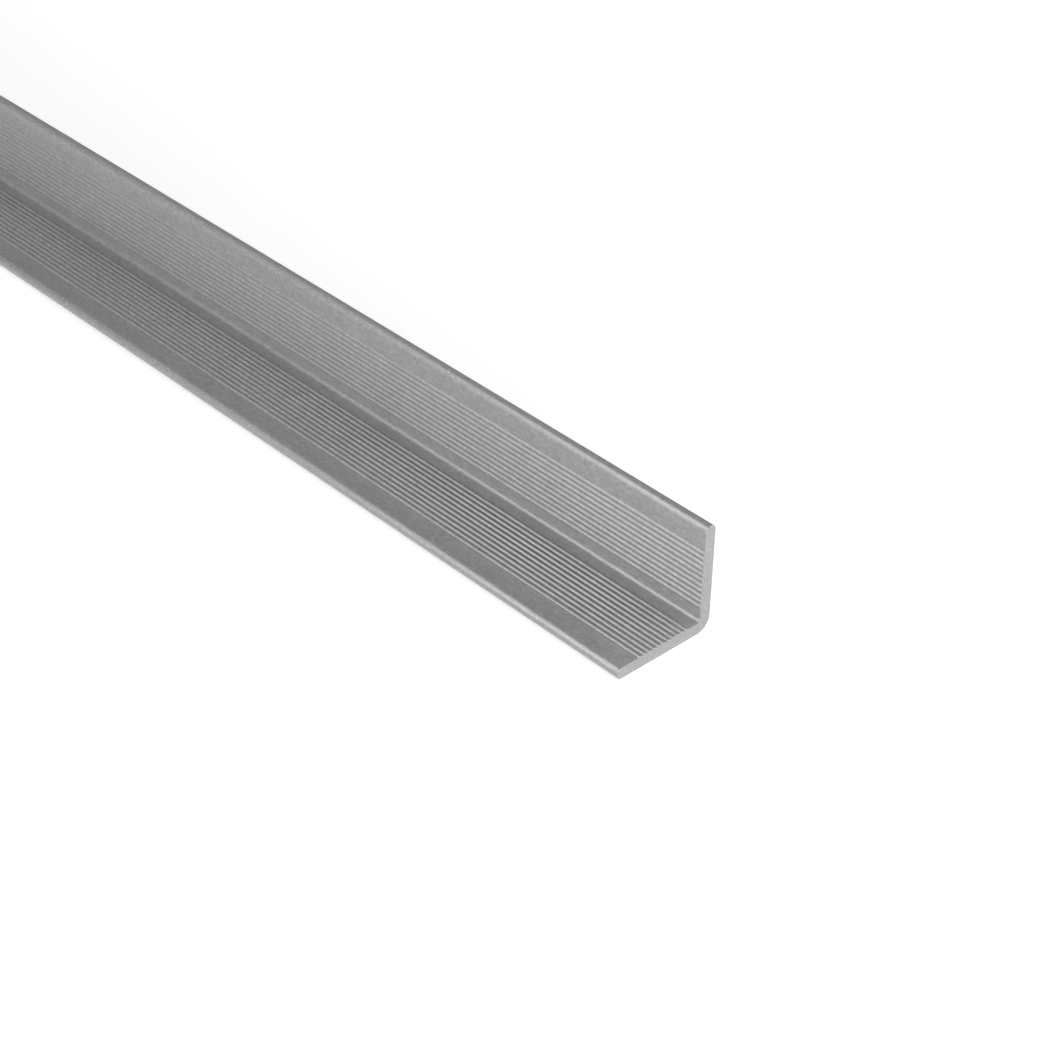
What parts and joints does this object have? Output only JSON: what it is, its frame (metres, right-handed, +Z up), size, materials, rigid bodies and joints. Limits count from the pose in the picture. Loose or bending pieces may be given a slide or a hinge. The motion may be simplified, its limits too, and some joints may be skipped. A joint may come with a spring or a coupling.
{
  "type": "wood-plastic composite angle trim",
  "caption": "Equal-leg angle trim extruded in grey wood-plastic composite, with bands of low glue waves on its inner faces, made to cover the open edges of decking or cladding.",
  "frame": {"origin": "centre of the footprint, on the surface that the lying leg rests on", "axes": "+X along the length, towards the sawn end that is nearest in the picture; -Y towards the open side of the angle; +Z up along the standing leg"},
  "size_m": [2, 0.04, 0.04],
  "materials": {
    "composite": "extruded, matt with a low sheen, fine wood-flour speckle"
  },
  "bodies": {
    "root": {"angle_trim": "composite"}
  },
  "joints": []
}
